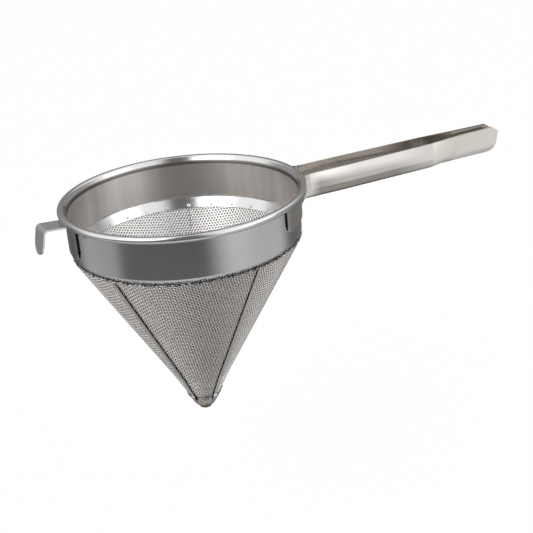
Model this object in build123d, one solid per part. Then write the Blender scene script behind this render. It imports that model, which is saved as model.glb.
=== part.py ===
from build123d import *
from math import atan2, cos, degrees, floor, pi, radians, sin, sqrt, tan
import os

# Chinois strainer: a conical sieve in a sheet steel collar, with a folded sheet handle and a pan hook.
# Millimetres. The origin is on the cone's axis in the plane of the rolled rim's underside,
# which is the ring that rests in a stand. +X points to the handle, +Z is up.

# Rolled rim and collar
rim_radius = 101.6
rim_overhang = 6.9
rim_wire_diameter = 3.9
rim_wire_clearance = 0.05
rim_flare_angle = 30.0
rim_flare_radius = 5.0
rim_roll_end_angle = 225.0
collar_sheet = 0.9
collar_depth = 31.0
collar_bend_radius = 3.5
flange_length = 9.3

# Cone's layers, each measured square to its surface
cone_half_angle = 30.0
layer_clearance = 0.02
perforated_sheet = 0.5
fine_mesh_sheet = 0.2
guard_mesh_sheet = 1.2
cone_top_drop = 4.4
cone_end_radius = 5.75
tip_flare = 1.2
tip_flare_length = 24.0

# Punched sheet's staggered holes
hole_diameter = 9.4
hole_pitch = 18.0
hole_corners = 6
hole_top_margin = 14.0
hole_end_margin = 24.0
punch_overrun = 1.0

# Guard mesh's pockets between its wires, wider apart than in the real weave
gap_pitch = 14.0
gap_wire_width = 5.0
gap_top_margin = 6.0
gap_end_margin = 46.0
guard_web = 0.4
pocket_overrun = 0.5

# Ribs over the guard mesh
rib_count = 5
rib_width = 3.6
rib_thickness = 1.0
rib_top_gap = 0.8
rib_clearance = 0.05
rib_lap_on_cap = 3.2
rib_step_length = 2.0

# Tip cap and the braze bead under it
cap_sheet = 0.7
cap_clearance = 0.05
cap_rise = 8.0
cap_knee_drop = 2.6
cap_bottom_radius = 4.2
cap_bottom_drop = 6.0
braze_height = 1.3
braze_clearance = 0.02

# Handle: one sheet folded into an open channel that spreads into two wings on the collar
handle_sheet = 1.2
handle_length = 187.4
handle_tilt = 1.75
handle_top_at_rim = 2.3
handle_clearance = 0.15
wing_half_angle = 50.5
wing_top_gap = 0.6
wing_height = 20.0
wing_corner_radius = 5.5
wing_flare_radius = 20.0
bead_gap = 1.0
channel_depth = 23.6
channel_half_width = 13.6
channel_fold_height = 9.8
channel_settle_length = 28.0
channel_bulge_share = 1.06
pinch_length = 28.0
pinch_to_end = 39.0
pinch_half_width = 11.3
pinched_half_width = 8.8
end_half_width = 6.8
pinched_fold_share = 0.42
pinched_bottom_share = 2.6
end_chamfer_length = 6.5
end_chamfer_height = 4.6
end_corner_radius = 8.0
cut_overrun = 5.0

# Pan hook: a bent strip on a curved weld plate
hook_sheet = 1.4
hook_width = 19.0
hook_gap = 18.95
hook_leg = 25.5
hook_bend_radius = 3.2
hook_tip_share = 0.49
hook_plate_half_angle = 12.0
hook_top_gap = 0.7
hook_plate_margin = 0.8
hook_plate_corner_radius = 6.0
hook_clearance = 0.15

# Worked out from the sizes above
collar_radius = rim_radius - rim_overhang
rim_bead_radius = rim_wire_diameter / 2 + rim_wire_clearance + collar_sheet
rim_bead_centre = rim_radius - rim_bead_radius
wire_seat_radius = rim_bead_radius - collar_sheet
cone_top_depth = collar_depth + cone_top_drop
cone_angle = radians(cone_half_angle)
cone_slope = tan(cone_angle)


def polar(radius, angle):
    """Point at this radius and angle, in degrees, about the origin of a plane drawing."""
    return radius * cos(radians(angle)), radius * sin(radians(angle))


def beside(point, step):
    """Point one step away from another in a plane drawing."""
    return point[0] + step[0], point[1] + step[1]


def spin(profile):
    """Solid of revolution about the cone's axis from a profile drawn as radius and height."""
    return revolve(Plane.XZ * profile, Axis.Z)


def rim_points():
    """Centre of the rolled bead and the points where the collar's outside leaves the wall."""
    centre = (rim_bead_centre, rim_bead_radius)
    seat = beside(centre, polar(wire_seat_radius, 180 - rim_flare_angle))
    flare_in = rim_flare_radius * (1 - cos(radians(rim_flare_angle)))
    flare_up = rim_flare_radius * sin(radians(rim_flare_angle))
    rise = (seat[0] - collar_radius - flare_in) / tan(radians(rim_flare_angle))
    flare_end = (collar_radius + flare_in, seat[1] - rise)
    flare_start = (collar_radius, flare_end[1] - flare_up)
    return centre, seat, flare_start, flare_end


def flange_points():
    """Outside of the bend below the wall and of the conical flange's lower edge."""
    bend_start = (collar_radius, -collar_depth)
    turn_centre = beside(bend_start, (-collar_bend_radius, 0))
    bend_end = beside(turn_centre, polar(collar_bend_radius, -cone_half_angle))
    run = (-flange_length * sin(cone_angle), -flange_length * cos(cone_angle))
    return bend_start, turn_centre, bend_end, beside(bend_end, run)


def cone_radius(depth, stand_off):
    """Radius at this depth of the cone that lies this far outside the flange, square to it."""
    bend_end = flange_points()[2]
    flange_radius = bend_end[0] - (depth + bend_end[1]) * cone_slope
    return flange_radius + stand_off / cos(cone_angle)


def collar():
    """Wall with a bead rolled round the rim wire and a conical flange, as one bent sheet."""
    centre, seat, flare_start, flare_end = rim_points()
    bend_start, turn_centre, bend_end, flange_end = flange_points()
    roll_start = 180 - rim_flare_angle
    roll_turn = rim_roll_end_angle - 360 - roll_start
    outside = [
        Line(flange_end, bend_end),
        CenterArc(turn_centre, collar_bend_radius, -cone_half_angle, cone_half_angle),
        Line(bend_start, flare_start),
        RadiusArc(flare_start, flare_end, rim_flare_radius),
        Line(flare_end, seat),
        CenterArc(centre, wire_seat_radius, roll_start, roll_turn),
    ]
    inner_flange_end = beside(flange_end, (-collar_sheet * cos(cone_angle), collar_sheet * sin(cone_angle)))
    inner_bend_end = beside(bend_end, (-collar_sheet * cos(cone_angle), collar_sheet * sin(cone_angle)))
    inner_bend_start = beside(bend_start, (-collar_sheet, 0))
    inner_flare_start = beside(flare_start, (-collar_sheet, 0))
    lean = (-collar_sheet * cos(radians(rim_flare_angle)), collar_sheet * sin(radians(rim_flare_angle)))
    inner_flare_end = beside(flare_end, lean)
    inner_seat = beside(seat, lean)
    inside = [
        Line(inner_flange_end, inner_bend_end),
        CenterArc(turn_centre, collar_bend_radius - collar_sheet, -cone_half_angle, cone_half_angle),
        Line(inner_bend_start, inner_flare_start),
        RadiusArc(inner_flare_start, inner_flare_end, rim_flare_radius + collar_sheet),
        Line(inner_flare_end, inner_seat),
        CenterArc(centre, rim_bead_radius, roll_start, roll_turn),
    ]
    roll_edge = Line(outside[-1] @ 1, inside[-1] @ 1)
    flange_edge = Line(flange_end, inner_flange_end)
    return spin(make_face(outside + inside + [roll_edge, flange_edge]))


def rim_wire():
    """Stiffening wire inside the rolled bead."""
    centre = rim_points()[0]
    return spin(Pos(*centre) * Circle(rim_wire_diameter / 2))


def cone_end_depth():
    """Depth at which the cone's layers are cut off."""
    bend_end = flange_points()[2]
    return (bend_end[0] - cone_end_radius) / cone_slope - bend_end[1]


def cap_rim_depth():
    """Depth of the tip cap's rim."""
    return cone_end_depth() - cap_rise


def on_cone(depth, stand_off):
    """Point of a profile at this depth and distance from the flange's cone."""
    return cone_radius(depth, stand_off), -depth


def cone_shell(stand_off, thickness):
    """Straight conical sheet whose inner face lies this far outside the flange."""
    top = cone_top_depth
    end = cone_end_depth()
    outside = stand_off + thickness
    corners = [
        on_cone(top, stand_off),
        on_cone(end, stand_off),
        on_cone(end, outside),
        on_cone(top, outside),
    ]
    return spin(make_face(Polyline(*corners, close=True)))


def perforated_stand_off():
    """Gap from the flange to the punched sheet."""
    return layer_clearance


def fine_mesh_stand_off():
    """Distance from the flange to the fine mesh."""
    return perforated_stand_off() + perforated_sheet + layer_clearance


def guard_mesh_stand_off():
    """Distance from the flange to the guard mesh."""
    return fine_mesh_stand_off() + fine_mesh_sheet + layer_clearance


def guard_mesh_face():
    """Distance from the flange to the guard mesh's outer face."""
    return guard_mesh_stand_off() + guard_mesh_sheet


def slant_rows(top_margin, end_margin, row_pitch):
    """Depths of the rows of openings down a cone's slant."""
    slant_length = (cone_end_depth() - cone_top_depth) / cos(cone_angle)
    row_count = floor((slant_length - top_margin - end_margin) / row_pitch) + 1
    return [cone_top_depth + (top_margin + row * row_pitch) * cos(cone_angle) for row in range(row_count)]


def perforated_cone():
    """Inner cone of sheet with staggered rows of punched holes."""
    shell = cone_shell(perforated_stand_off(), perforated_sheet)
    punch_depth = perforated_sheet + 2 * punch_overrun
    punch = Pos(0, 0, -punch_overrun) * extrude(RegularPolygon(hole_diameter / 2, hole_corners), punch_depth)
    square_on = Rot(0, 90 + cone_half_angle, 0)
    punches = []
    for row, depth in enumerate(slant_rows(hole_top_margin, hole_end_margin, hole_pitch * sqrt(3) / 2)):
        radius = cone_radius(depth, perforated_stand_off())
        count = floor(2 * pi * radius / hole_pitch)
        for index in range(count):
            turn = Rot(0, 0, 360 * (index + 0.5 * (row % 2)) / count)
            punches.append(turn * Pos(radius, 0, -depth) * square_on * punch)
    return shell - punches


def guard_mesh_cone():
    """Outer cone: rings and slanting wires standing proud of a thinner web, as the weave does."""
    top = cone_top_depth
    flare_start = cap_rim_depth() - tip_flare_length
    flare_end = cap_rim_depth()
    end = cone_end_depth()
    seat = guard_mesh_stand_off()
    face = guard_mesh_face()
    corners = [
        on_cone(top, seat),
        on_cone(flare_start, seat),
        on_cone(flare_end, seat + tip_flare),
        on_cone(end, seat + tip_flare),
        on_cone(end, face + tip_flare),
        on_cone(flare_end, face + tip_flare),
        on_cone(flare_start, face),
        on_cone(top, face),
    ]
    body = spin(make_face(Polyline(*corners, close=True)))
    web = seat + guard_web
    gap_drop = (gap_pitch - gap_wire_width) * cos(cone_angle)
    pockets = []
    for depth in slant_rows(gap_top_margin, gap_end_margin, gap_pitch):
        lower = depth + gap_drop
        outline = [
            on_cone(depth, web),
            on_cone(lower, web),
            on_cone(lower, face + pocket_overrun),
            on_cone(depth, face + pocket_overrun),
        ]
        count = floor(2 * pi * cone_radius(depth, face) / gap_pitch)
        turn = 360 / count
        opening = turn * (gap_pitch - gap_wire_width) / gap_pitch
        section = Plane.XZ * make_face(Polyline(*outline, close=True))
        pocket = revolve(section, Axis.Z, revolution_arc=opening)
        for index in range(count):
            pockets.append(Rot(0, 0, turn * index) * pocket)
    return body - pockets


def rib(direction):
    """Flat strip down the guard mesh, from the collar over the tip cap's rim."""
    seat = guard_mesh_face() + rib_clearance
    over_cap = tip_flare + cap_clearance + cap_sheet
    stations = [
        (cone_top_depth + rib_top_gap, 0),
        (cap_rim_depth() - tip_flare_length, 0),
        (cap_rim_depth() - rib_step_length, tip_flare),
        (cap_rim_depth() - rib_step_length / 2, over_cap),
        (cap_rim_depth() + rib_lap_on_cap, over_cap),
    ]
    inside = [on_cone(depth, seat + lift) for depth, lift in stations]
    outside = [on_cone(depth, seat + rib_thickness + lift) for depth, lift in reversed(stations)]
    strip = make_face(Polyline(*inside, *outside, close=True))
    return Rot(0, 0, direction) * extrude(Plane.XZ * strip, amount=rib_width / 2, both=True)


def tip_cap():
    """Stamped cup that closes the point of the cone over the mesh."""
    seat = guard_mesh_face() + tip_flare + cap_clearance
    knee_depth = cone_end_depth() + cap_knee_drop
    bottom_depth = knee_depth + cap_bottom_drop
    wall = cap_sheet / cos(cone_angle)
    rim_radius_inside = cone_radius(cap_rim_depth(), seat)
    knee_radius_inside = cone_radius(knee_depth, seat)
    outside = [
        (rim_radius_inside + wall, -cap_rim_depth()),
        (knee_radius_inside + wall, -knee_depth),
        (cap_bottom_radius, -bottom_depth),
        (0, -bottom_depth),
    ]
    inside = [
        (0, cap_sheet - bottom_depth),
        (cap_bottom_radius - cap_sheet / 2, cap_sheet - bottom_depth),
        (knee_radius_inside, -knee_depth),
        (rim_radius_inside, -cap_rim_depth()),
    ]
    return spin(make_face(Polyline(*outside, *inside, close=True)))


def tip_braze():
    """Bead of brass under the cap's floor."""
    top = -(cone_end_depth() + cap_knee_drop + cap_bottom_drop) - braze_clearance
    dome_radius = (cap_bottom_radius**2 + braze_height**2) / (2 * braze_height)
    dome = Pos(0, 0, top - braze_height + dome_radius) * Sphere(dome_radius)
    return split(dome, Plane(origin=(0, 0, top)), keep=Keep.BOTTOM)


def handle_end():
    """Distance of the handle's free end from the cone's axis."""
    return rim_radius + handle_length


def handle_top(x):
    """Height of the channel's top edges at this distance from the cone's axis."""
    return handle_top_at_rim + (x - rim_radius) * tan(radians(handle_tilt))


def fold_level(x):
    """Height at which the channel's flat walls end and its bottom begins."""
    return handle_top(x) - channel_depth + channel_fold_height


def wing_seat_radius():
    """Inside radius of the wings."""
    return collar_radius + handle_clearance


def flare_centre():
    """Centre of the bend that turns one wing into the channel's wall, in plan."""
    across = channel_half_width + wing_flare_radius
    reach = wing_seat_radius() + handle_sheet + wing_flare_radius
    return sqrt(reach**2 - across**2), across


def channel_root():
    """Distance from the axis at which the channel's blank starts, inside the collar's line."""
    return sqrt(wing_seat_radius() ** 2 - (2 * channel_half_width) ** 2)


def channel_section(x, half_width, fold_share, round_share, inset, bottom_inset, top_overrun):
    """Section of the channel at this distance from the axis, drawn inset from its outside."""
    top = handle_top(x) + top_overrun
    bottom = handle_top(x) - channel_depth + bottom_inset
    fold = fold_level(x)
    side = half_width - inset
    fold_side = half_width * fold_share - inset
    control_side = fold_side * (1 + round_share) / 2
    control_height = bottom + (fold - bottom) * (1 - round_share) / 2
    left = Bezier((-fold_side, fold), (-control_side, control_height), (0, bottom))
    right = Bezier((0, bottom), (control_side, control_height), (fold_side, fold))
    walls = Polyline((fold_side, fold), (side, top), (-side, top), (-fold_side, fold))
    return Plane(origin=(x, 0, 0), x_dir=(0, 1, 0), z_dir=(1, 0, 0)) * make_face([left, right, walls])


def channel_stations():
    """Distance, half width, fold share, roundness and bottom thickness along the handle."""
    straight = flare_centre()[0]
    pinched = handle_end() - pinch_to_end
    thick = handle_sheet * pinched_bottom_share
    return [
        (channel_root(), channel_half_width, 1, 1, handle_sheet),
        (straight, channel_half_width, 1, 1, handle_sheet),
        (straight + channel_settle_length, channel_half_width, channel_bulge_share, 1, handle_sheet),
        (pinched - pinch_length, pinch_half_width, channel_bulge_share, 1, handle_sheet),
        (pinched, pinched_half_width, pinched_fold_share, 0, thick),
        (handle_end(), end_half_width, pinched_fold_share, 0, thick),
    ]


def channel():
    """Open channel, round at the bottom by the collar and pinched to a fold at its free end."""
    outer = []
    inner = []
    for x, half_width, fold_share, round_share, bottom in channel_stations():
        shape = (x, half_width, fold_share, round_share)
        outer.append(channel_section(*shape, 0, 0, 0))
        inner.append(channel_section(*shape, handle_sheet, bottom, cut_overrun))
    return loft(outer, ruled=True) - loft(inner, ruled=True)


def side_cut(outline):
    """Cutter across the whole handle from its outline in side view."""
    return extrude(Plane.XZ * make_face(outline), amount=rim_radius, both=True)


def end_cuts():
    """Chamfers on the top corners and the round lower corner at the channel's free end."""
    top = handle_top(handle_end())
    bottom = top - channel_depth
    beyond = handle_end() + cut_overrun
    chamfer_start = handle_end() - end_chamfer_length
    upper = Polyline(
        (chamfer_start, handle_top(chamfer_start)),
        (handle_end(), top - end_chamfer_height),
        (beyond, top - end_chamfer_height),
        (beyond, top + cut_overrun),
        (chamfer_start, top + cut_overrun),
        close=True,
    )
    centre = (handle_end() - end_corner_radius, bottom + end_corner_radius)
    corner = CenterArc(centre, end_corner_radius, 0, -90)
    lower = Polyline(
        corner @ 1,
        (centre[0], bottom - cut_overrun),
        (beyond, bottom - cut_overrun),
        (beyond, centre[1]),
        corner @ 0,
    )
    return [side_cut(upper), side_cut([corner, lower])]


def wing():
    """Wing on the +Y side, from its end on the collar to the channel's wall."""
    centre = flare_centre()
    turn = degrees(atan2(centre[1], centre[0]))
    seat = wing_seat_radius()
    skin = seat + handle_sheet
    wing_bottom = -wing_top_gap - wing_height
    inner = CenterArc((0, 0), seat, wing_half_angle, turn - wing_half_angle)
    outer = CenterArc((0, 0), skin, wing_half_angle, turn - wing_half_angle)
    inner_flare = CenterArc(centre, wing_flare_radius + handle_sheet, 180 + turn, 90 - turn)
    outer_flare = CenterArc(centre, wing_flare_radius, 180 + turn, 90 - turn)
    ends = [Line(inner @ 0, outer @ 0), Line(inner_flare @ 1, outer_flare @ 1)]
    band = make_face([inner, outer, inner_flare, outer_flare] + ends)
    height = handle_top(centre[0]) - wing_bottom
    solid = extrude(Pos(0, 0, wing_bottom) * band, amount=height)
    bead_space = Cylinder(rim_radius + bead_gap, height, align=(Align.CENTER, Align.CENTER, Align.MIN))
    solid = solid - Pos(0, 0, -wing_top_gap) * bead_space
    low = solid.edges().filter_by(lambda edge: abs(edge.center().Z - wing_bottom) < wing_top_gap)
    end_y = polar(seat + handle_sheet / 2, wing_half_angle)[1]
    corner = low.sort_by(lambda edge: abs(edge.center().Y - end_y))[0]
    solid = fillet(corner, wing_corner_radius)
    flare_start = polar(skin, turn)[0]
    below = wing_bottom - cut_overrun
    rising_edge = Polyline(
        (flare_start, wing_bottom),
        (centre[0], fold_level(centre[0])),
        (centre[0] + cut_overrun, fold_level(centre[0])),
        (centre[0] + cut_overrun, below),
        (flare_start, below),
        close=True,
    )
    return solid - side_cut(rising_edge)


def handle():
    """Channel and both wings as one folded sheet."""
    flare_end = flare_centre()[0]
    seat = Cylinder(wing_seat_radius(), 2 * rim_radius)
    over_trough = Polyline(
        (0, fold_level(0)),
        (flare_end, fold_level(flare_end)),
        (flare_end, rim_radius),
        (0, rim_radius),
        close=True,
    )
    body = channel() - [seat, side_cut(over_trough)] - end_cuts()
    side = wing()
    return body + side + mirror(side, Plane.XZ)


def pan_hook():
    """Bent strip that hangs on a pan's edge, with its curved plate on the collar."""
    seat = collar_radius + hook_clearance
    plate_bottom = hook_plate_margin - collar_depth
    top = -hook_top_gap
    plate_ring = Circle(seat + hook_sheet) - Circle(seat)
    half_width = (seat + hook_sheet) * sin(radians(hook_plate_half_angle))
    window = Pos(-seat, 0) * Rectangle(seat, 2 * half_width)
    plate = extrude(Pos(0, 0, plate_bottom) * (plate_ring & window), amount=top - plate_bottom)
    lower = plate.edges().filter_by(lambda edge: abs(edge.center().Z - plate_bottom) < hook_clearance)
    corners = lower.sort_by(lambda edge: -abs(edge.center().Y))[:2]
    plate = fillet(corners, hook_plate_corner_radius)
    reach = seat + hook_gap + 2 * hook_sheet
    root = seat + hook_sheet / 2
    bend = (reach - hook_bend_radius, top - hook_bend_radius)
    tip = top - hook_leg
    strip = [
        Line((root, top), (bend[0], top)),
        CenterArc(bend, hook_bend_radius, 90, -90),
        Line((reach, bend[1]), (reach, tip)),
        Line((reach, tip), (reach - hook_sheet, tip)),
        Line((reach - hook_sheet, tip), (reach - hook_sheet, bend[1])),
        CenterArc(bend, hook_bend_radius - hook_sheet, 0, 90),
        Line((bend[0], top - hook_sheet), (root, top - hook_sheet)),
        Line((root, top - hook_sheet), (root, top)),
    ]
    bar = extrude(Plane.XZ * make_face(strip), amount=hook_width / 2, both=True)
    tip_edges = bar.edges().filter_by(Axis.X).sort_by(Axis.Z)[:2]
    bar = Rot(0, 0, 180) * fillet(tip_edges, hook_width * hook_tip_share)
    return plate + bar


def rib_directions():
    """Angle of each rib from the handle, by name."""
    names = [
        "rib_handle",
        "rib_back_handle_side",
        "rib_back_hook_side",
        "rib_front_hook_side",
        "rib_front_handle_side",
    ]
    return {name: index * 360 / rib_count for index, name in enumerate(names)}


def nodes():
    """Every piece of the strainer by name."""
    pieces = {
        "collar": collar(),
        "rim_wire": rim_wire(),
        "perforated_cone": perforated_cone(),
        "fine_mesh_cone": cone_shell(fine_mesh_stand_off(), fine_mesh_sheet),
        "guard_mesh_cone": guard_mesh_cone(),
        "tip_cap": tip_cap(),
        "tip_braze": tip_braze(),
        "handle": handle(),
        "pan_hook": pan_hook(),
    }
    for name, direction in rib_directions().items():
        pieces[name] = rib(direction)
    return pieces


os.makedirs("parts", exist_ok=True)
for name, piece in nodes().items():
    export_step(piece, f"parts/{name}.step")
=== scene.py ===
import math

import bpy
import numpy as np
from mathutils import Matrix, Vector

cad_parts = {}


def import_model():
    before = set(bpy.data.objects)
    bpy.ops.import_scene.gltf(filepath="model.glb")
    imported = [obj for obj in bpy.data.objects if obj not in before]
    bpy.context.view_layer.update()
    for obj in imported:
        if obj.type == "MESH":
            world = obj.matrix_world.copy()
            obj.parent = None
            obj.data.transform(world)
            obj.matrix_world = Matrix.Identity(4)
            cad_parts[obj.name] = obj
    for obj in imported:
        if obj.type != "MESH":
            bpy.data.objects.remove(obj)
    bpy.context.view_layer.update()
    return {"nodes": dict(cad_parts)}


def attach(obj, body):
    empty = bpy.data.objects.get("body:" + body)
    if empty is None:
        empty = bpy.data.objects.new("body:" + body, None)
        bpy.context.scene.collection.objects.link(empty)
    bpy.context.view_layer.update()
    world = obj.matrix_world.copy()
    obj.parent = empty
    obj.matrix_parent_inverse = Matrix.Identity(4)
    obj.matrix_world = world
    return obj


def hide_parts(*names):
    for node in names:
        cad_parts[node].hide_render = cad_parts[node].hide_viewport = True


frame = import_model()

# Shapes are in millimetres, places in the shaders and the studio in metres
MM = 0.001

# The cone's layers: each is a flat half disc of sheet or mesh rolled into a cone
CONE_ANGLE = math.radians(30)
FLANGE_APEX = -195.96
TOP_DEPTH = 35.4
END_DEPTH = 186.0
SEAM_ANGLE = math.radians(71)
GUARD_SEAM = math.radians(60)

# Punched sheet
SHEET = 0.5
HOLE_PITCH = 2.65
HOLE_DIAMETER = 1.55
HOLE_SIDES = 12
SHEET_STAND_OFF = 0.05
LAYERS_APEX = FLANGE_APEX - SHEET_STAND_OFF / math.sin(CONE_ANGLE)
SHEET_PIECES = 4

# Weld where the punched sheet's edges meet
SEAM_WIDTH = 0.55
SEAM_HEIGHT = 0.25
SEAM_END = 8.0
SEAM_POINTS = 60

# Fine mesh
FINE_PITCH = 0.9
FINE_RIBBON = 0.46
FINE_STEP = 3.6
FINE_STAND_OFF = 0.64
FINE_LIFT = 0.03

# Guard mesh: its wires end at uneven lengths under the flange and spread over the tip cap
GUARD_PITCH = 2.07
GUARD_WIRE = 0.68
GUARD_CRIMP = 0.28
GUARD_WARP_LIFT = 0.1
GUARD_STAND_OFF = 1.30
GUARD_TOP_DEPTH = 34.2
GUARD_SIDES = 6
GUARD_RAGGED = 1.4
CROWN_DEPTH = 0.35
RAGGED_SHARES = (0.75, 0.0, 0.5, 1.0, 0.25)
LAST_STEP_SHARE = 0.2
FLARE_DEPTHS = (153.5, 177.5)
TIP_FLARE = 1.2

# Spot welds that hold the layers to the collar's flange: rings of a share of their size, and lift
WELD_RADIUS = 89.2
WELD_HEIGHT = -38.2
WELD_SPACING = math.radians(12.4)
WELD_SIZE = 1.0
SEAM_WELD_SIZE = 1.7
WELD_RINGS = ((1.0, 0.0), (0.8, 0.22), (0.5, 0.12), (0.15, -0.1))
WELD_SIDES = 12

# Camera, as fitted to the photograph, in metres and pixels
IMAGE_WIDTH = 533
FOCAL_PIXELS = 1100.03
CAMERA_DISTANCE = 0.91333
CAMERA_AZIMUTH = math.radians(-105.5)
CAMERA_ELEVATION = math.radians(22.366)
CAMERA_ROLL = math.radians(-6.611)
CAMERA_TARGET = Vector((0, 0, -0.0571))
PRINCIPAL_SHIFT = (77.02, -3.85)
SENSOR = 36.0
CLIP_END = 20

# Floor, lamps and the plain backdrop
FLOOR_HEIGHT = -0.30
FLOOR_REACH = 6.0
FLOOR_GLOW = 0.965
FLOOR_COLOUR = (0.95, 0.95, 0.95, 1)
FLOOR_ROUGHNESS = 0.7
WHITE = (1, 1, 1, 1)
LAMP_AIM = (0, 0, -0.05)

# Studio brightness around the object: degrees to the right of the camera's side, and strength.
# Each ramp gives way to the next one between two heights of the direction looked in.
STUDIO_HEIGHTS = ((-0.62, -0.44), (-0.34, -0.27), (-0.06, 0.06), (0.34, 0.5), (0.9, 0.97))
STUDIO_UNDER = (
    (-180, 0.18), (-140, 0.22), (-100, 0.58), (0, 0.7), (100, 0.58), (140, 0.2), (180, 0.16),
)
STUDIO_LOW = (
    (-180, 0.2), (-140, 0.12), (-112, 0.5), (-80, 0.45), (-62, 0.14), (14, 0.14), (46, 0.66), (100, 0.62),
    (124, 0.16), (180, 0.2),
)
STUDIO_MIDDLE = (
    (-180, 0.25), (-70, 0.3), (-34, 0.1), (0, 0.05), (12, 0.06), (20, 0.5), (28, 1.25), (52, 1.25),
    (70, 0.35), (180, 0.25),
)
STUDIO_BAND = (
    (-180, 0.3), (-115, 0.4), (-90, 1.5), (-44, 1.5), (-18, 0.25), (14, 0.25), (36, 1.5), (70, 1.5),
    (95, 0.4), (180, 0.3),
)
STUDIO_HIGH = (
    (-180, 0.3), (-162, 0.3), (-150, 0.9), (-143, 0.3), (-138, 0.3), (-132, 1.1), (-60, 1.3), (-34, 1.3),
    (-14, 0.17), (8, 0.17), (28, 1.2), (60, 1.35), (130, 1.1), (160, 0.3), (180, 0.3),
)
STUDIO_TOP = (
    (-180, 0.3), (-160, 0.35), (-142, 1.25), (-12, 1.25), (4, 0.58), (58, 0.56), (72, 1.25), (142, 1.25),
    (160, 0.35), (180, 0.3),
)

# Upright streaks of painted reflection on the collar's inner side, and a stretch of painted dark reflection
# opposite the camera
STREAKS_ROUND = 4.0
STREAK_RANGE = (0.35, 0.65)
STREAK_TONES = (0.82, 1.16)
DIM_TURN = math.radians(72)
DIM_FULL = math.radians(9)
DIM_CLEAR = math.radians(22)
DIM_TONE = 0.66
INSIDE_FACING = (-0.7, -0.85)
INSIDE_HEIGHTS = (-0.0306, 0.0012)
INSIDE_BOTTOM_FADE = 0.0004
INSIDE_TOP_FADE = 0.001

# Painted light and shade on the handle: one tone gives way to another between two places, sideways, in
# height and then, from ROOT_LIGHT on, in distance from the cone's axis
CHANNEL_SIDE = (0.0005, 0.002)
CHANNEL_UNDER = (0.0, -0.0065)
ROOT_LIGHT = (0.15, 0.108)
UNDER_BEGINS = (0.104, 0.116)
END_FADES = (0.186, 0.218)
PINCH_PLACE = (0.2212, 0.2232)
INNER_END = (0.2, 0.24)
FAR_WALL = (0.206, 0.19)
WING_PLACE = (0.104, 0.1)

# Grain and mottle that all metals share, and where painted shade and heat stain set in
GRAIN_DETAIL = 6.0
GRAIN_ROUGHNESS = 0.65
MOTTLE_SCALE = 28.0
MOTTLE_DETAIL = 3.0
RELIEF_DEPTH = 0.0002
NARROW_SIDE = (0.75, 0.9)
EDGE_SHADE_FADE = 0.0005
EVERYWHERE = 1.0
STAIN_SCALE = 260.0
STAIN_RAGGED = 0.003
# Greys of painted shade; the lighter one also gives the cap's dark patches
SHADE = (0.02, 0.02, 0.02, 1)
DARK_GREY = (0.16, 0.15, 0.14, 1)
UPRIGHT = (0, 0, 1)
LEVEL_PART = (1, 1, 0)

# Hook's strip and plate, as the photograph shows them: the strip rises and is turned, the leg leans out
HOOK_SEAT = 94.85
HOOK_SHEET = 1.4
HOOK_HALF_WIDTH = 10.2
HOOK_TOP = -0.7
HOOK_REACH = 118.9
HOOK_BEND = 4.0
HOOK_LEAN = math.radians(12.5)
HOOK_LEG = 18.5
HOOK_RISE = math.radians(4.8)
HOOK_YAW = math.radians(7.5)
HOOK_ROOT = HOOK_SEAT + HOOK_SHEET / 2
HOOK_STRAIGHT = HOOK_REACH - HOOK_BEND - HOOK_ROOT
HOOK_TURN = math.pi / 2 - HOOK_LEAN + HOOK_RISE
HOOK_POINTS = (60, 25)
PLATE_HALF_ANGLE = math.radians(11.2)
PLATE_BOTTOM = -28.6
PLATE_CORNER = 6.0
PLATE_POINTS = (20, 31)
SHARP_SHEET = math.radians(35)

# Tip cap's outline and the brass bead's, as radius and depth in millimetres, and the folds round each
CAP_OUTLINE = (
    (14.88, 178.0), (12.6, 182.0), (10.5, 185.6), (9.4, 187.4), (7.6, 189.8), (5.4, 191.6), (3.0, 192.6),
    (0.4, 192.9),
)
CAP_FOLDS = 11
CAP_FOLD_DEPTH = 0.9
BRAZE_OUTLINE = ((5.6, 191.7), (5.0, 192.7), (3.4, 193.6), (1.6, 194.0), (0.3, 194.05))
BRAZE_FOLDS = 5
BRAZE_FOLD_DEPTH = 0.2
TURNED_WALL = 0.7
TURNED_POINTS = 96
FOLD_DRIFT = 0.4
FOLD_DRIFTS = 3
SHARP_TURNED = math.radians(50)


def on_cone(x, y, stand_off, seam=SEAM_ANGLE):
    """Places points of the flat half disc on the cone, this far outside the flange."""
    slant = np.hypot(x, y)
    turn = seam + 2 * np.arctan2(y, x)
    reach = slant * math.sin(CONE_ANGLE)
    base = LAYERS_APEX + slant * math.cos(CONE_ANGLE)
    out = reach + stand_off * math.cos(CONE_ANGLE)
    down = base - stand_off * math.sin(CONE_ANGLE)
    return np.stack([out * np.cos(turn), out * np.sin(turn), down], axis=-1)


def cone_normal(x, y, seam=SEAM_ANGLE):
    """Outward direction of the cone under a point of the flat half disc."""
    turn = seam + 2 * np.arctan2(y, x)
    tilt = np.full_like(turn, -math.sin(CONE_ANGLE))
    level = math.cos(CONE_ANGLE)
    return np.stack([level * np.cos(turn), level * np.sin(turn), tilt], axis=-1)


def slant_at(depth):
    """Distance from the apex, along the slant, of this depth."""
    return (-depth - FLANGE_APEX) / math.cos(CONE_ANGLE)


def add_mesh(name, points, faces, material, smooth=True):
    """Object from points in millimetres and an array of faces with equally many corners."""
    mesh = bpy.data.meshes.new(name)
    corners = faces.shape[1]
    mesh.vertices.add(len(points))
    mesh.vertices.foreach_set("co", (points * MM).astype(np.float32).ravel())
    mesh.loops.add(faces.size)
    mesh.loops.foreach_set("vertex_index", faces.astype(np.int32).ravel())
    mesh.polygons.add(len(faces))
    mesh.polygons.foreach_set("loop_start", np.arange(0, faces.size, corners, dtype=np.int32))
    mesh.update(calc_edges=True)
    mesh.validate()
    if smooth:
        mesh.shade_smooth()
    mesh.materials.append(material)
    obj = bpy.data.objects.new(name, mesh)
    bpy.context.scene.collection.objects.link(obj)
    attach(obj, "root")
    return obj


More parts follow.
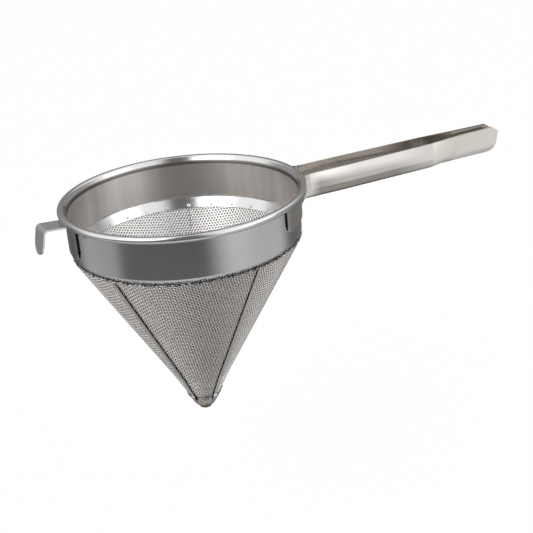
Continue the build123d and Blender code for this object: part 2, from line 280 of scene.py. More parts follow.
def mesh_lines(pitch, step, top_depth, ragged=0.0):
    """Points along both families of wires of a square weave, clipped to the cone's band.

    Each wire is its family, its row, the places of its points and its distance from the middle.
    """
    outer = slant_at(top_depth)
    inner = slant_at(END_DEPTH)
    lines = []
    for row in range(int(outer / pitch) + 1):
        across = (row + 0.5) * pitch
        if across >= outer:
            continue
        far = math.sqrt(outer**2 - across**2) - ragged * RAGGED_SHARES[row % len(RAGGED_SHARES)]
        near = math.sqrt(max(inner**2 - across**2, 0))
        first = math.ceil(near / step) * step
        if far - first < 2 * step:
            continue
        inside = np.arange(first, far, step)
        along = np.append(inside[far - inside > LAST_STEP_SHARE * step], far)
        if near == 0:
            both = np.concatenate([-along[::-1], along[along > 0]])
            lines.append(("x", row, both, across))
        else:
            lines.append(("x", row, along, across))
            lines.append(("x", row, -along[::-1], across))
        for side in (1, -1):
            lines.append(("y", row, along, side * across))
    return lines


def line_points(family, along, across):
    """Flat coordinates of the points on one wire."""
    if family == "x":
        return along, np.full_like(along, across)
    return np.full_like(along, across), along


def ring_faces(ring_count, sides, start):
    """Quads round a tube of that many rings."""
    ring = np.arange(ring_count - 1)[:, None] * sides + start
    side = np.arange(sides)[None, :]
    following = (side + 1) % sides
    upper = ring + sides
    quads = np.stack([ring + side, ring + following, upper + following, upper + side], axis=-1)
    return quads.reshape(-1, 4)


def guard_wire(family, row, along, across):
    """Rings of one round wire that rises and dips over the wires that it crosses."""
    x, y = line_points(family, along, across)
    phase = math.pi * (along / GUARD_PITCH - 0.5)
    column = math.floor(across / GUARD_PITCH) if family == "y" else row
    sign = 1 if family == "x" else -1
    height = sign * (GUARD_CRIMP * np.cos(phase + math.pi * column) - GUARD_WARP_LIFT)
    start, full = FLARE_DEPTHS
    flare = TIP_FLARE * np.interp(np.hypot(x, y), (slant_at(full), slant_at(start)), (1, 0))
    normal = cone_normal(x, y, GUARD_SEAM)
    centre = on_cone(x, y, GUARD_STAND_OFF, GUARD_SEAM) + (height + flare)[:, None] * normal
    forward = np.gradient(centre, axis=0)
    forward /= np.linalg.norm(forward, axis=1, keepdims=True)
    sideways = np.cross(forward, normal)
    sideways /= np.linalg.norm(sideways, axis=1, keepdims=True)
    upwards = np.cross(sideways, forward)
    angle = np.arange(GUARD_SIDES) * 2 * math.pi / GUARD_SIDES
    ring = (
        np.cos(angle)[None, :, None] * sideways[:, None, :]
        + np.sin(angle)[None, :, None] * upwards[:, None, :]
    )
    return (centre[:, None, :] + GUARD_WIRE / 2 * ring).reshape(-1, 3)


def guard_mesh(material):
    """Woven guard mesh, in four pieces: every other wire of each family."""
    groups = {}
    for wire in mesh_lines(GUARD_PITCH, GUARD_PITCH / 2, GUARD_TOP_DEPTH, GUARD_RAGGED):
        family, row = wire[:2]
        groups.setdefault(f"guard_mesh_{family}_{row % 2}", []).append(wire)
    for name, wires in groups.items():
        points = []
        faces = []
        count = 0
        for family, row, along, across in wires:
            rings = guard_wire(family, row, along, across)
            faces.append(ring_faces(len(along), GUARD_SIDES, count))
            points.append(rings)
            count += len(rings)
        piece = add_mesh(name, np.concatenate(points), np.concatenate(faces), material)
        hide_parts("guard_mesh_cone")


def fine_mesh(material):
    """Fine woven layer as flat ribbons in two crossed families."""
    for wanted in ("x", "y"):
        points = []
        faces = []
        count = 0
        for family, _, along, across in mesh_lines(FINE_PITCH, FINE_STEP, TOP_DEPTH):
            if family != wanted:
                continue
            lift = FINE_LIFT if family == "x" else -FINE_LIFT
            for edge in (-1, 1):
                x, y = line_points(family, along, across + edge * FINE_RIBBON / 2)
                points.append(on_cone(x, y, FINE_STAND_OFF + lift))
            length = len(along)
            start = np.arange(length - 1) + count
            faces.append(np.stack([start, start + 1, start + length + 1, start + length], axis=-1))
            count += 2 * length
        piece = add_mesh(f"fine_mesh_{wanted}", np.concatenate(points), np.concatenate(faces), material)
        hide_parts("fine_mesh_cone")


def hole_centres():
    """Centres of the staggered holes in the flat half disc."""
    outer = slant_at(TOP_DEPTH)
    inner = slant_at(END_DEPTH)
    column_pitch = HOLE_PITCH * math.sqrt(3) / 2
    rows = np.arange(0, int(outer / HOLE_PITCH) + 2)
    columns = np.arange(-int(outer / column_pitch) - 2, int(outer / column_pitch) + 3)
    row, column = np.meshgrid(rows, columns, indexing="ij")
    x = column * column_pitch
    y = (row + 0.5 * (column % 2)) * HOLE_PITCH
    slant = np.hypot(x, y)
    once = (y > 0) | (x > 0)
    kept = (slant < outer - HOLE_PITCH / 2) & (slant > inner) & once
    return x[kept], y[kept]


def perforated_cone(material):
    """Punched sheet: a hexagon with a round hole about each centre, and the hole's wall."""
    x, y = hole_centres()
    angle = np.arange(HOLE_SIDES) * 2 * math.pi / HOLE_SIDES
    corner = HOLE_PITCH / math.sqrt(3)
    edge = np.where(np.arange(HOLE_SIDES) % 2 == 0, corner, HOLE_PITCH / 2)
    hole = HOLE_DIAMETER / 2
    for number, chosen in enumerate(np.array_split(np.arange(len(x)), SHEET_PIECES)):
        cx = x[chosen][:, None]
        cy = y[chosen][:, None]
        rim = on_cone(cx + edge * np.cos(angle), cy + edge * np.sin(angle), SHEET_STAND_OFF)
        mouth = on_cone(cx + hole * np.cos(angle), cy + hole * np.sin(angle), SHEET_STAND_OFF)
        back = on_cone(cx + hole * np.cos(angle), cy + hole * np.sin(angle), SHEET_STAND_OFF + SHEET)
        points = np.concatenate([rim, mouth, back], axis=1).reshape(-1, 3)
        start = np.arange(len(chosen))[:, None] * 3 * HOLE_SIDES
        side = np.arange(HOLE_SIDES)[None, :]
        following = (side + 1) % HOLE_SIDES
        faces = []
        for ring in (0, HOLE_SIDES):
            low = start + ring
            high = low + HOLE_SIDES
            quads = np.stack([low + side, high + side, high + following, low + following], axis=-1)
            faces.append(quads.reshape(-1, 4))
        name = f"perforated_sheet_{number}"
        piece = add_mesh(name, points, np.concatenate(faces), material, smooth=False)
        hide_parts("perforated_cone")


def slab(name, front, back, material, node):
    """Closed piece of sheet from the grids of its two faces, in the place of a CAD node."""
    rows, columns = front.shape[:2]
    count = rows * columns
    index = np.arange(count).reshape(rows, columns)
    faces = []
    for grid, reversed_side in ((index, False), (index + count, True)):
        quads = np.stack([grid[:-1, :-1], grid[:-1, 1:], grid[1:, 1:], grid[1:, :-1]], axis=-1)
        quads = quads.reshape(-1, 4)
        faces.append(quads[:, ::-1] if reversed_side else quads)
    edge = np.concatenate([index[0, :-1], index[:-1, -1], index[-1, :0:-1], index[:0:-1, 0]])
    following = np.roll(edge, -1)
    faces.append(np.stack([edge, edge + count, following + count, following], axis=-1))
    points = np.concatenate([front.reshape(-1, 3), back.reshape(-1, 3)])
    piece = add_mesh(name, points, np.concatenate(faces), material)
    piece.data.set_sharp_from_angle(angle=SHARP_SHEET)
    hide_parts(node)


def rounded_end(across, half_width, corner):
    """How much shorter a strip is at this distance from its middle, with rounded end corners."""
    over = np.clip(np.abs(across) - (half_width - corner), 0, corner)
    return corner - np.sqrt(corner**2 - over**2)


def hook_path(length):
    """Outer side of the hook's strip, this far along it: distance out, height and outward direction."""
    turn = np.clip((length - HOOK_STRAIGHT) / HOOK_BEND, 0, HOOK_TURN) - HOOK_RISE
    straight = np.minimum(length, HOOK_STRAIGHT)
    leg = np.maximum(length - HOOK_STRAIGHT - HOOK_BEND * HOOK_TURN, 0)
    bend_out = HOOK_BEND * (np.sin(turn) + math.sin(HOOK_RISE))
    out = HOOK_ROOT + straight * math.cos(HOOK_RISE) + bend_out + leg * np.cos(turn)
    bend_rise = HOOK_BEND * (np.cos(turn) - math.cos(HOOK_RISE))
    height = HOOK_TOP + straight * math.sin(HOOK_RISE) + bend_rise - leg * np.sin(turn)
    return out, height, np.sin(turn), np.cos(turn)


def hook_strip(material):
    """Hook's bent strip with its round end."""
    rows, columns = HOOK_POINTS
    across = HOOK_HALF_WIDTH * np.linspace(-1, 1, columns)
    full = HOOK_STRAIGHT + HOOK_BEND * HOOK_TURN + HOOK_LEG
    ends = full - rounded_end(across, HOOK_HALF_WIDTH, HOOK_HALF_WIDTH)
    length = np.linspace(0, 1, rows)[:, None] * ends[None, :]
    out, height, outward, upward = hook_path(length)
    y = np.broadcast_to(across, length.shape)
    faces = []
    for depth in (0, HOOK_SHEET):
        beyond = out - depth * outward - HOOK_SEAT
        x = -HOOK_SEAT - beyond * math.cos(HOOK_YAW) + y * math.sin(HOOK_YAW)
        turned_y = -beyond * math.sin(HOOK_YAW) - y * math.cos(HOOK_YAW)
        faces.append(np.stack([x, turned_y, height - depth * upward], axis=-1))
    slab("hook_strip", faces[0], faces[1], material, "pan_hook")


def hook_plate(material):
    """Hook's curved weld plate with round lower corners."""
    rows, columns = PLATE_POINTS
    turn = PLATE_HALF_ANGLE * np.linspace(-1, 1, columns)
    half = PLATE_HALF_ANGLE * HOOK_SEAT
    drop = HOOK_TOP - PLATE_BOTTOM - rounded_end(turn * HOOK_SEAT, half, PLATE_CORNER)
    level = HOOK_TOP - np.linspace(0, 1, rows)[:, None] * drop[None, :]
    faces = []
    for radius in (HOOK_SEAT + HOOK_SHEET, HOOK_SEAT):
        x = np.broadcast_to(-radius * np.cos(turn), level.shape)
        y = np.broadcast_to(-radius * np.sin(turn), level.shape)
        faces.append(np.stack([x, y, level], axis=-1))
    slab("hook_plate", faces[0], faces[1], material, "pan_hook")


def level_ring(radius, angle, depth):
    """Ring of points about the cone's axis at one depth."""
    return np.stack([radius * np.cos(angle), radius * np.sin(angle), np.full_like(angle, -depth)], axis=-1)


def turned(name, outline, folds, fold_depth, material, node):
    """Turned cup or bead from radius and depth, creased most half way down its outline."""
    angle = np.linspace(0, 2 * math.pi, TURNED_POINTS, endpoint=False)
    crease = np.abs(np.sin(angle * folds / 2 + FOLD_DRIFT * np.sin(FOLD_DRIFTS * angle)))
    count = len(outline)
    first_radius, first_depth = outline[0]
    points = [level_ring(first_radius - TURNED_WALL, angle, first_depth)]
    for step, (radius, depth) in enumerate(outline):
        share = math.sin(math.pi * step / (count - 1))
        reach = radius - fold_depth * share * (1 - crease) ** 2
        points.append(level_ring(reach, angle, depth))
    faces = ring_faces(count + 1, len(angle), 0)
    piece = add_mesh(name, np.concatenate(points), faces, material)
    piece.data.set_sharp_from_angle(angle=SHARP_TURNED)
    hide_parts(node)


def cone_seam(material):
    """Narrow weld down the inner side of the punched sheet, where its edges meet."""
    slant = np.linspace(slant_at(TOP_DEPTH), slant_at(END_DEPTH) + SEAM_END, SEAM_POINTS)
    faces = []
    for stand_off in (SHEET_STAND_OFF - SEAM_HEIGHT, SHEET_STAND_OFF):
        rows = []
        for side in (1, 0, -1):
            turn = side * SEAM_WIDTH / 2 / slant
            rows.append(on_cone(slant * np.cos(turn), slant * np.sin(turn), stand_off))
        faces.append(np.stack(rows, axis=1))
    slab("cone_seam", faces[0], faces[1], material, "perforated_cone")


def spot_welds(material):
    """Small raised rings where the layers are welded to the flange."""
    points = []
    faces = []
    upright = np.array([0, 0, 1])
    angle = np.arange(WELD_SIDES) * 2 * math.pi / WELD_SIDES
    for index in range(int(2 * math.pi / WELD_SPACING)):
        turn = SEAM_ANGLE + index * WELD_SPACING
        outward = np.array([math.cos(turn), math.sin(turn), 0])
        centre = outward * WELD_RADIUS + upright * WELD_HEIGHT
        inward = math.sin(CONE_ANGLE) * upright - math.cos(CONE_ANGLE) * outward
        across = np.array([-math.sin(turn), math.cos(turn), 0])
        along_wall = np.cross(inward, across)
        radius = SEAM_WELD_SIZE if index == 0 else WELD_SIZE
        for size, lift in WELD_RINGS:
            circle = np.cos(angle)[:, None] * across + np.sin(angle)[:, None] * along_wall
            points.append(centre + radius * size * circle + lift * inward)
        faces.append(ring_faces(len(WELD_RINGS), WELD_SIDES, index * WELD_SIDES * len(WELD_RINGS)))
    add_mesh("flange_spot_welds", np.concatenate(points), np.concatenate(faces), material)


def new_material(name):
    """Empty node material with its principled shader."""
    material = bpy.data.materials.new(name)
    material.use_nodes = True
    return material, material.node_tree, material.node_tree.nodes["Principled BSDF"]


def steel(name, colour, roughness, stretch, grain=0.15, bump=0.05, mottle=0.06):
    """Metal with a grain, fine where the stretch is large, and a faint larger mottle.

    Grain, bump and mottle are how strong the grain's gloss, its relief and the mottle are.
    """
    material, tree, shader = new_material(name)
    nodes = tree.nodes
    place = nodes.new("ShaderNodeTexCoord")
    mapping = nodes.new("ShaderNodeMapping")
    mapping.inputs["Scale"].default_value = stretch
    lines = nodes.new("ShaderNodeTexNoise")
    lines.inputs["Scale"].default_value = 1.0
    lines.inputs["Detail"].default_value = GRAIN_DETAIL
    lines.inputs["Roughness"].default_value = GRAIN_ROUGHNESS
    cloud = nodes.new("ShaderNodeTexNoise")
    cloud.inputs["Scale"].default_value = MOTTLE_SCALE
    cloud.inputs["Detail"].default_value = MOTTLE_DETAIL
    rough = nodes.new("ShaderNodeMapRange")
    rough.inputs["To Min"].default_value = roughness - grain * roughness
    rough.inputs["To Max"].default_value = roughness + grain * roughness
    shade = nodes.new("ShaderNodeMapRange")
    shade.inputs["To Min"].default_value = 1 - mottle
    shade.inputs["To Max"].default_value = 1 + mottle
    tint = nodes.new("ShaderNodeVectorMath")
    tint.operation = "SCALE"
    tint.inputs[0].default_value = colour
    relief = nodes.new("ShaderNodeBump")
    relief.inputs["Strength"].default_value = bump
    relief.inputs["Distance"].default_value = RELIEF_DEPTH
    tree.links.new(place.outputs["Object"], mapping.inputs["Vector"])
    tree.links.new(mapping.outputs["Vector"], lines.inputs["Vector"])
    tree.links.new(place.outputs["Object"], cloud.inputs["Vector"])
    tree.links.new(lines.outputs["Fac"], rough.inputs["Value"])
    tree.links.new(rough.outputs["Result"], shader.inputs["Roughness"])
    tree.links.new(cloud.outputs["Fac"], shade.inputs["Value"])
    tree.links.new(shade.outputs["Result"], tint.inputs["Scale"])
    tree.links.new(tint.outputs["Vector"], shader.inputs["Base Color"])
    tree.links.new(lines.outputs["Fac"], relief.inputs["Height"])
    tree.links.new(relief.outputs["Normal"], shader.inputs["Normal"])
    shader.inputs["Metallic"].default_value = 1.0
    return material


def recolour(material, factor, colour):
    """Mixes a colour, fixed or from a socket, over a material's own by a factor."""
    tree = material.node_tree
    base = tree.nodes["Principled BSDF"].inputs["Base Color"]
    mix = tree.nodes.new("ShaderNodeMix")
    mix.data_type = "RGBA"
    tree.links.new(base.links[0].from_socket, mix.inputs["A"])
    if isinstance(colour, tuple):
        mix.inputs["B"].default_value = colour
    else:
        tree.links.new(colour, mix.inputs["B"])
    tree.links.new(factor, mix.inputs["Factor"])
    tree.links.new(mix.outputs["Result"], base)


def roughen(material, factor, roughness):
    """Mixes a roughness over a material's own by a factor."""
    tree = material.node_tree
    rough = tree.nodes["Principled BSDF"].inputs["Roughness"]
    mix = tree.nodes.new("ShaderNodeMix")
    mix.inputs["B"].default_value = roughness
    tree.links.new(rough.links[0].from_socket, mix.inputs["A"])
    tree.links.new(factor, mix.inputs["Factor"])
    tree.links.new(mix.outputs["Result"], rough)


def ramp_between(tree, value, start, end):
    """Factor that rises from 0 to 1 as a value goes from start to end."""
    rise = tree.nodes.new("ShaderNodeMapRange")
    rise.inputs["From Min"].default_value = start
    rise.inputs["From Max"].default_value = end
    tree.links.new(value, rise.inputs["Value"])
    return rise.outputs["Result"]


def vector_node(tree, operation, first, second=None):
    """Vector maths node on sockets or fixed vectors."""
    node = tree.nodes.new("ShaderNodeVectorMath")
    node.operation = operation
    for socket, value in zip(node.inputs, (first, second)):
        if isinstance(value, tuple):
            socket.default_value = value
        elif value is not None:
            tree.links.new(value, socket)
    return node.outputs["Value" if operation in ("DOT_PRODUCT", "LENGTH") else "Vector"]


def multiplied(tree, first, second):
    """Product of two factors."""
    node = tree.nodes.new("ShaderNodeMath")
    node.operation = "MULTIPLY"
    tree.links.new(first, node.inputs[0])
    tree.links.new(second, node.inputs[1])
    return node.outputs["Value"]


def around_axis(tree):
    """Surface normal, and position flattened onto the plane square to the cone's axis."""
    place = tree.nodes.new("ShaderNodeTexCoord").outputs["Object"]
    normal = tree.nodes.new("ShaderNodeNewGeometry").outputs["Normal"]
    return normal, vector_node(tree, "MULTIPLY", place, LEVEL_PART)


def position_along(tree, axis):
    """Position along one axis, given as a unit vector."""
    place = tree.nodes.new("ShaderNodeTexCoord").outputs["Object"]
    return vector_node(tree, "DOT_PRODUCT", place, axis)


def toned(colour, tone):
    """Colour with its strength scaled, opaque."""
    return (*(tone * part for part in colour), 1)


def shadowed_edges(material, shade, reach=EVERYWHERE):
    """Painted shade: darkens a strap's narrow sides within a radius, where it stands on its seat and the gap
    below lies in shade.
    """
    tree = material.node_tree
    normal, flat = around_axis(tree)
    sideways = vector_node(tree, "NORMALIZE", vector_node(tree, "CROSS_PRODUCT", UPRIGHT, flat))
    near = ramp_between(tree, vector_node(tree, "LENGTH", flat), reach + EDGE_SHADE_FADE, reach)
    start, full = NARROW_SIDE
    for sign in (1, -1):
        facing = vector_node(tree, "DOT_PRODUCT", normal, sideways)
        side = ramp_between(tree, facing, sign * start, sign * full)
        recolour(material, multiplied(tree, side, near), shade)
    return material


def stained_below(material, colour, full, clear):
    """Tints a material below a height, with a ragged edge, as brazing heat and spilt brass do."""
    tree = material.node_tree
    place = tree.nodes.new("ShaderNodeTexCoord").outputs["Object"]
    noise = tree.nodes.new("ShaderNodeTexNoise")
    noise.inputs["Scale"].default_value = STAIN_SCALE
    tree.links.new(place, noise.inputs["Vector"])
    ragged = tree.nodes.new("ShaderNodeMath")
    ragged.operation = "MULTIPLY_ADD"
    ragged.inputs[1].default_value = STAIN_RAGGED
    tree.links.new(noise.outputs["Fac"], ragged.inputs[0])
    tree.links.new(position_along(tree, UPRIGHT), ragged.inputs[2])
    recolour(material, ramp_between(tree, ragged.outputs["Value"], clear, full), colour)
    return material


def grey_ramp(tree, stops):
    """Grey ramp over a value from 0 to 1, from pairs of place and strength."""
    ramp = tree.nodes.new("ShaderNodeValToRGB")
    ramp.color_ramp.interpolation = "EASE"
    elements = ramp.color_ramp.elements
    while len(elements) < len(stops):
        elements.new(0.5)
    for element, (place, strength) in zip(elements, stops):
        element.position = place
        element.color = (strength, strength, strength, 1)
    return ramp


def by_angle(stops):
    """Stops given in degrees from the camera's side, to the right, as places from 0 to 1."""
    return [((angle + 180) / 360, strength) for angle, strength in stops]


def share_of_turn(tree, vector):
    """Angle of a vector about the upright axis as a share from 0 to 1, and its height."""
    split = tree.nodes.new("ShaderNodeSeparateXYZ")
    around = tree.nodes.new("ShaderNodeMath")
    around.operation = "ARCTAN2"
    tree.links.new(vector, split.inputs["Vector"])
    tree.links.new(split.outputs["Y"], around.inputs[0])
    tree.links.new(split.outputs["X"], around.inputs[1])
    return ramp_between(tree, around.outputs["Value"], -math.pi, math.pi), split.outputs["Z"]


def streaked_inside(material, colour, roughness, bead_shade, bead_shade_heights):
    """Warm inner side: upright painted reflection streaks, a dim painted reflection and painted shade under
    the bead.
    """
    tree = material.node_tree
    normal, flat = around_axis(tree)
    outward = vector_node(tree, "NORMALIZE", flat)
    inside = ramp_between(tree, vector_node(tree, "DOT_PRODUCT", normal, outward), *INSIDE_FACING)
    height = position_along(tree, UPRIGHT)
    bottom, top = INSIDE_HEIGHTS
    inside = multiplied(tree, inside, ramp_between(tree, height, top + INSIDE_TOP_FADE, top))
    inside = multiplied(tree, inside, ramp_between(tree, height, bottom - INSIDE_BOTTOM_FADE, bottom))
    noise = tree.nodes.new("ShaderNodeTexNoise")
    noise.inputs["Scale"].default_value = STREAKS_ROUND
    tree.links.new(outward, noise.inputs["Vector"])
    low_tone, high_tone = STREAK_TONES
    streaks = ramp_between(tree, noise.outputs["Fac"], *STREAK_RANGE)
    recolour(material, inside, toned(colour, low_tone))
    recolour(material, multiplied(tree, inside, streaks), toned(colour, high_tone))
    middle = (math.cos(DIM_TURN), math.sin(DIM_TURN), 0)
    facing = vector_node(tree, "DOT_PRODUCT", outward, middle)
    dim = ramp_between(tree, facing, math.cos(DIM_CLEAR), math.cos(DIM_FULL))
    recolour(material, multiplied(tree, inside, dim), toned(colour, DIM_TONE))
    roughen(material, inside, roughness)
    recolour(material, multiplied(tree, inside, ramp_between(tree, height, *bead_shade_heights)), bead_shade)
    return material


def recessed(material, shade):
    """Painted shade: darkens the guard mesh's wires below their crowns, at their sides and crossings."""
    tree = material.node_tree
    place = tree.nodes.new("ShaderNodeTexCoord").outputs["Object"]
    flat = vector_node(tree, "MULTIPLY", place, LEVEL_PART)
    above = tree.nodes.new("ShaderNodeMath")
    above.operation = "MULTIPLY_ADD"
    above.inputs[1].default_value = math.cos(CONE_ANGLE)
    tree.links.new(vector_node(tree, "LENGTH", flat), above.inputs[0])
    down = vector_node(tree, "DOT_PRODUCT", place, (0, 0, -math.sin(CONE_ANGLE)))
    tree.links.new(down, above.inputs[2])
    middle = GUARD_STAND_OFF - LAYERS_APEX * math.sin(CONE_ANGLE)
    crown = (middle + CROWN_DEPTH) * MM
    foot = (middle - CROWN_DEPTH) * MM
    recolour(material, ramp_between(tree, above.outputs["Value"], crown, foot), shade)
    return material


def folded_channel(material, under, fading, painted_light, roughness, inner, far_wall, wing):
    """Near wall: painted shade where it folds under, painted light at root and pinch, lighter and rougher
    end; far wall's end in painted shade.
    """
    tree = material.node_tree
    start, full = CHANNEL_SIDE
    sideways = position_along(tree, (0, 1, 0))
    near = ramp_between(tree, sideways, -start, -full)
    far = ramp_between(tree, sideways, start, full)
    reach = position_along(tree, (1, 0, 0))
    low = ramp_between(tree, position_along(tree, UPRIGHT), *CHANNEL_UNDER)
    recolour(material, multiplied(tree, near, ramp_between(tree, reach, *ROOT_LIGHT)), painted_light)
    beyond = ramp_between(tree, reach, *UNDER_BEGINS)
    recolour(material, multiplied(tree, multiplied(tree, low, near), beyond), under)
    end = multiplied(tree, near, ramp_between(tree, reach, *END_FADES))
    recolour(material, end, fading)
    recolour(material, multiplied(tree, near, ramp_between(tree, reach, *PINCH_PLACE)), painted_light)
    recolour(material, multiplied(tree, far, ramp_between(tree, reach, *INNER_END)), inner)
    roughen(material, end, roughness)
    recolour(material, multiplied(tree, far, ramp_between(tree, reach, *FAR_WALL)), far_wall)
    recolour(material, ramp_between(tree, reach, *WING_PLACE), wing)
    return material


def dark_patches(material, shade, stretch, patchy, heights):
    """Dark patches of a noise, which set in between two heights."""
    tree = material.node_tree
    place = tree.nodes.new("ShaderNodeTexCoord").outputs["Object"]
    noise = tree.nodes.new("ShaderNodeTexNoise")
    noise.inputs["Scale"].default_value = 1.0
    tree.links.new(vector_node(tree, "MULTIPLY", place, stretch), noise.inputs["Vector"])
    patches = ramp_between(tree, noise.outputs["Fac"], *patchy)
    above = ramp_between(tree, position_along(tree, UPRIGHT), *heights)
    recolour(material, multiplied(tree, patches, above), shade)
    return material


def dress(node, material):
    """Gives a CAD node's object this material in every slot."""
    obj = frame["nodes"][node]
    for index in range(len(obj.material_slots)):
        obj.material_slots[index].link = "OBJECT"
        obj.material_slots[index].material = material


def blend_by_height(tree, height, low, high, lower, upper):
    """Colour that turns smoothly from a lower to an upper one between two heights."""
    rise = tree.nodes.new("ShaderNodeMapRange")
    rise.interpolation_type = "SMOOTHSTEP"
    rise.inputs["From Min"].default_value = low
    rise.inputs["From Max"].default_value = high
    mix = tree.nodes.new("ShaderNodeMix")
    mix.data_type = "RGBA"
    tree.links.new(height, rise.inputs["Value"])
    tree.links.new(rise.outputs["Result"], mix.inputs["Factor"])
    tree.links.new(lower, mix.inputs["A"])
    tree.links.new(upper, mix.inputs["B"])
    return mix.outputs["Result"]


def world():
    """Studio of soft panels and dim gaps round the object, plain white to the camera."""
    scene = bpy.context.scene
    scene.world = bpy.data.worlds.new("studio")
    scene.world.use_nodes = True
    tree = scene.world.node_tree
    nodes = tree.nodes
    background = nodes["Background"]
    place = nodes.new("ShaderNodeTexCoord")
    turn = nodes.new("ShaderNodeVectorRotate")
    turn.rotation_type = "Z_AXIS"
    turn.inputs["Angle"].default_value = -CAMERA_AZIMUTH
    tree.links.new(place.outputs["Generated"], turn.inputs["Vector"])
    share, height = share_of_turn(tree, turn.outputs["Vector"])
    ramps = []
    for stops in (STUDIO_UNDER, STUDIO_LOW, STUDIO_MIDDLE, STUDIO_BAND, STUDIO_HIGH, STUDIO_TOP):
        ramp = grey_ramp(tree, by_angle(stops))
        tree.links.new(share, ramp.inputs["Fac"])
        ramps.append(ramp.outputs["Color"])
    sides = ramps[0]
    for (start, end), ramp in zip(STUDIO_HEIGHTS, ramps[1:]):
        sides = blend_by_height(tree, height, start, end, sides, ramp)
    path = nodes.new("ShaderNodeLightPath")
    seen = nodes.new("ShaderNodeMix")
    seen.data_type = "RGBA"
    seen.inputs["B"].default_value = WHITE
    tree.links.new(sides, seen.inputs["A"])
    tree.links.new(path.outputs["Is Camera Ray"], seen.inputs["Factor"])
    tree.links.new(seen.outputs["Result"], background.inputs["Color"])


def soft_light(name, place, aim, size, power):
    """Rectangular soft light that looks at a point."""
    data = bpy.data.lights.new(name, "AREA")
    data.shape = "RECTANGLE"
    data.size, data.size_y = size
    data.energy = power
    lamp = bpy.data.objects.new(name, data)
    bpy.context.scene.collection.objects.link(lamp)
    lamp.location = place
    lamp.rotation_euler = (Vector(aim) - Vector(place)).to_track_quat("-Z", "Y").to_euler()


def floor():
    """Pale floor that shows near white to the camera and keeps the object's shadow."""
    material, tree, shader = new_material("floor")
    nodes = tree.nodes
    shader.inputs["Base Color"].default_value = FLOOR_COLOUR
    shader.inputs["Roughness"].default_value = FLOOR_ROUGHNESS
    glow = nodes.new("ShaderNodeEmission")
    path = nodes.new("ShaderNodeLightPath")
    share = nodes.new("ShaderNodeMath")
    share.operation = "MULTIPLY"
    share.inputs[1].default_value = FLOOR_GLOW
    mix = nodes.new("ShaderNodeMixShader")
    clear = nodes.new("ShaderNodeBsdfTransparent")
    mirrored = nodes.new("ShaderNodeMixShader")
    tree.links.new(path.outputs["Is Camera Ray"], share.inputs[0])
    tree.links.new(share.outputs["Value"], mix.inputs["Fac"])
    tree.links.new(shader.outputs["BSDF"], mix.inputs[1])
    tree.links.new(glow.outputs["Emission"], mix.inputs[2])
    tree.links.new(path.outputs["Is Glossy Ray"], mirrored.inputs["Fac"])
    tree.links.new(mix.outputs["Shader"], mirrored.inputs[1])
    tree.links.new(clear.outputs["BSDF"], mirrored.inputs[2])
    tree.links.new(mirrored.outputs["Shader"], nodes["Material Output"].inputs["Surface"])
    corners = []
    for x, y in ((-1, -1), (1, -1), (1, 1), (-1, 1)):
        corners.append((x * FLOOR_REACH, y * FLOOR_REACH, FLOOR_HEIGHT))
    mesh = bpy.data.meshes.new("floor")
    mesh.from_pydata(corners, [], [(0, 1, 2, 3)])
    mesh.materials.append(material)
    obj = bpy.data.objects.new("floor", mesh)
    bpy.context.scene.collection.objects.link(obj)


def camera():
    """Camera at the photograph's place, turned and shifted as the photograph is."""
    level = math.cos(CAMERA_ELEVATION)
    rise = math.sin(CAMERA_ELEVATION)
    back = Vector((level * math.cos(CAMERA_AZIMUTH), level * math.sin(CAMERA_AZIMUTH), rise))
    right = Vector((-math.sin(CAMERA_AZIMUTH), math.cos(CAMERA_AZIMUTH), 0))
    up = back.cross(right)
    turned_right = math.cos(CAMERA_ROLL) * right + math.sin(CAMERA_ROLL) * up
    turned_up = -math.sin(CAMERA_ROLL) * right + math.cos(CAMERA_ROLL) * up
    data = bpy.data.cameras.new("camera")
    data.sensor_width = SENSOR
    data.lens = FOCAL_PIXELS / IMAGE_WIDTH * SENSOR
    data.shift_x = PRINCIPAL_SHIFT[0] / IMAGE_WIDTH
    data.shift_y = PRINCIPAL_SHIFT[1] / IMAGE_WIDTH
    data.clip_end = CLIP_END
    obj = bpy.data.objects.new("camera", data)
    bpy.context.scene.collection.objects.link(obj)
    place = CAMERA_TARGET + CAMERA_DISTANCE * back
    turn = Matrix((turned_right, turned_up, back)).transposed().to_4x4()
    obj.matrix_world = Matrix.Translation(place) @ turn
    bpy.context.scene.camera = obj


# Collar: bright sheet with a fine turned grain, warm on its inner side, with painted reflection streaks and
# painted shade under the bead there
collar_steel = steel(
    "collar_steel", (0.63, 0.63, 0.635), roughness=0.17, stretch=(6, 6, 600), grain=0.35, bump=0.008,
    mottle=0.04,
)
collar_steel = streaked_inside(
    collar_steel, (0.74, 0.70, 0.675), roughness=0.34, bead_shade=DARK_GREY, bead_shade_heights=(-0.0018, -0.0008)
)

# The cone's layers: punched sheet, its seam, guard mesh and fine mesh
sheet_steel = steel("sieve_steel", (0.77, 0.76, 0.75), roughness=0.25, stretch=(300, 300, 300))
seam_steel = steel(
    "seam_steel", (0.36, 0.345, 0.33), roughness=0.4, stretch=(500, 500, 500), bump=0.3, mottle=0.2
)
wire_steel = steel("wire_steel", (0.93, 0.9, 0.87), roughness=0.2, stretch=(400, 400, 400))
# Painted shade on the wires below their crowns, and in patches along the mesh's ragged top edge under the
# flange
wire_steel = recessed(wire_steel, (0.52, 0.50, 0.48, 1))
wire_steel = dark_patches(
    wire_steel, SHADE, stretch=(700, 700, 900), patchy=(0.52, 0.55), heights=(-0.0372, -0.0362)
)
# Fine mesh's steel is darkened as painted shade for the gaps between the guard mesh's wires
fine_steel = steel("fine_mesh_steel", (0.34, 0.33, 0.32), roughness=0.45, stretch=(700, 700, 700))
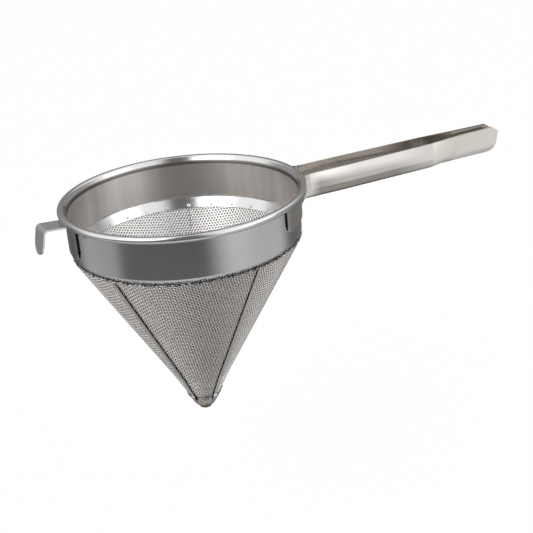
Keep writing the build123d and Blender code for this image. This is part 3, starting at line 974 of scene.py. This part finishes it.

# Handle: satin sheet brushed along its length, with painted light and shade on its walls
handle_steel = steel(
    "handle_steel", (0.68, 0.66, 0.64), roughness=0.16, stretch=(10, 1500, 1500), grain=0.3, bump=0.02,
    mottle=0.03,
)
handle_steel = folded_channel(
    handle_steel, under=(0.40, 0.375, 0.35, 1), fading=(0.72, 0.69, 0.655, 1), painted_light=(1.0, 0.965, 0.91, 1),
    roughness=0.42, inner=(0.2, 0.17, 0.15, 1), far_wall=(0.87, 0.845, 0.82, 1), wing=(0.9, 0.85, 0.81, 1),
)
# Painted shade on the wings' narrow ends, where they stand off the collar
handle_steel = shadowed_edges(handle_steel, SHADE, reach=0.0953)

# Hook: strip brushed along its length, plate brushed round the collar
hook_steel = steel(
    "hook_steel", (0.78, 0.78, 0.80), roughness=0.16, stretch=(10, 900, 10), grain=0.6, bump=0.15, mottle=0.1
)
plate_steel = steel(
    "hook_plate_steel", (0.60, 0.59, 0.58), roughness=0.2, stretch=(9, 9, 1800), grain=0.3, bump=0.02,
    mottle=0.03,
)
# Painted shade on the plate's narrow sides, for the shadowed slit between plate and collar
plate_steel = shadowed_edges(plate_steel, SHADE, reach=0.0954)

# Ribs
strap_steel = steel("strap_steel", (0.80, 0.79, 0.77), roughness=0.28, stretch=(500, 500, 500))
# Painted shade on the ribs' narrow sides, where they stand on the mesh
strap_steel = shadowed_edges(strap_steel, SHADE)

# Tip cap, stained by the brazing, and its brass bead
cap_steel = steel(
    "cap_steel", (0.66, 0.64, 0.62), roughness=0.34, stretch=(260, 260, 260), bump=0.8, mottle=0.3
)
# Darker patches of a noise all over the cap
cap_steel = dark_patches(cap_steel, DARK_GREY, stretch=(420, 420, 110), patchy=(0.54, 0.64), heights=(-1.0, -0.5))
cap_steel = stained_below(cap_steel, (0.50, 0.33, 0.14, 1), full=-0.1885, clear=-0.1860)
braze = steel("braze_brass", (0.50, 0.34, 0.15), roughness=0.4, stretch=(300, 300, 300), mottle=0.3)

# CAD nodes that keep their own mesh
dress("collar", collar_steel)
dress("rim_wire", collar_steel)
dress("handle", handle_steel)
for node in frame["nodes"]:
    if node.startswith("rib_"):
        dress(node, strap_steel)

# Finer pieces in the place of CAD nodes, and the spot welds
guard_mesh(wire_steel)
fine_mesh(fine_steel)
cone_seam(seam_steel)
perforated_cone(sheet_steel)
hook_strip(hook_steel)
hook_plate(plate_steel)
turned("creased_cap", CAP_OUTLINE, CAP_FOLDS, CAP_FOLD_DEPTH, cap_steel, "tip_cap")
turned("brass_bead", BRAZE_OUTLINE, BRAZE_FOLDS, BRAZE_FOLD_DEPTH, braze, "tip_braze")
spot_welds(sheet_steel)

# Studio
world()
floor()
camera()
soft_light("key_left", place=(-0.9, -0.6, 0.9), aim=LAMP_AIM, size=(0.9, 0.9), power=4)
soft_light("fill_right", place=(1.2, -0.8, 0.7), aim=LAMP_AIM, size=(0.8, 0.8), power=1.5)

bpy.context.scene.view_settings.view_transform = "Standard"
